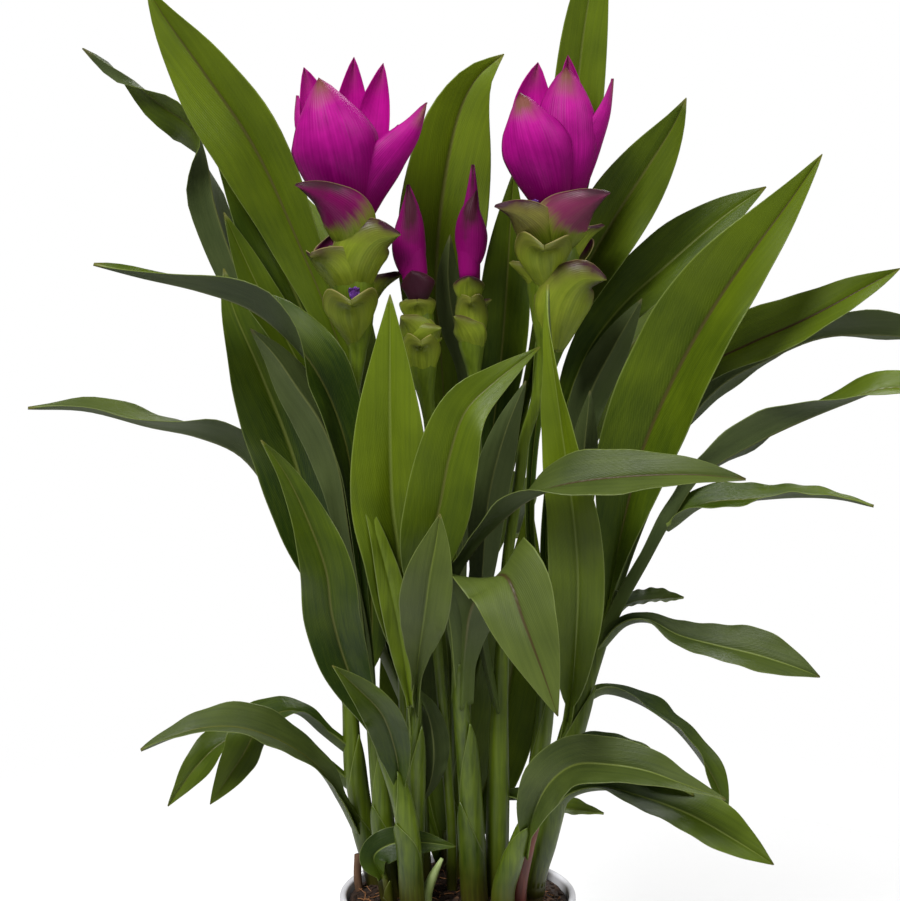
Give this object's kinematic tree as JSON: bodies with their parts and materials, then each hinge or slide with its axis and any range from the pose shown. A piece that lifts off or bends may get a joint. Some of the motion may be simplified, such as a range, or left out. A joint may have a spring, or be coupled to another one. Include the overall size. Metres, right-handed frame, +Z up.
{
  "type": "potted curcuma",
  "caption": "Flowering curcuma with long pointed leaves and magenta bract crowns over green cupped bracts, in a round white pot.",
  "frame": {"origin": "centre of the pot's foot, on the surface it stands on", "axes": "+Z up along the pot's axis, -Y towards the side shown in the picture, +X to the right in that view"},
  "size_m": [0.4604, 0.2672, 0.6085],
  "materials": {
    "pot": "gloss",
    "soil": "crumbly matt",
    "leaf": "satin",
    "scape": "satin",
    "bloom": "satin",
    "bud": "satin",
    "sprout": "satin",
    "stub": "matt",
    "sheath": "satin"
  },
  "bodies": {
    "root": {"pot": "pot", "soil": "soil", "shoot_left": "leaf", "shoot_left_middle": "leaf", "shoot_front_left": "leaf", "shoot_centre": "leaf", "shoot_arching": "leaf", "shoot_low": "leaf", "shoot_right": "leaf", "shoot_front_right": "leaf", "shoot_back_left": "leaf", "shoot_back": "leaf", "shoot_back_low": "leaf", "shoot_back_right": "leaf", "scape_left": "scape", "scape_right": "scape", "scape_bud_left": "scape", "scape_bud_right": "scape", "bloom_left": "bloom", "bloom_right": "bloom", "bud_left": "bud", "bud_right": "bud", "sprout": "sprout", "dry_stub": "stub", "sheath_red": "sheath"}
  },
  "joints": []
}
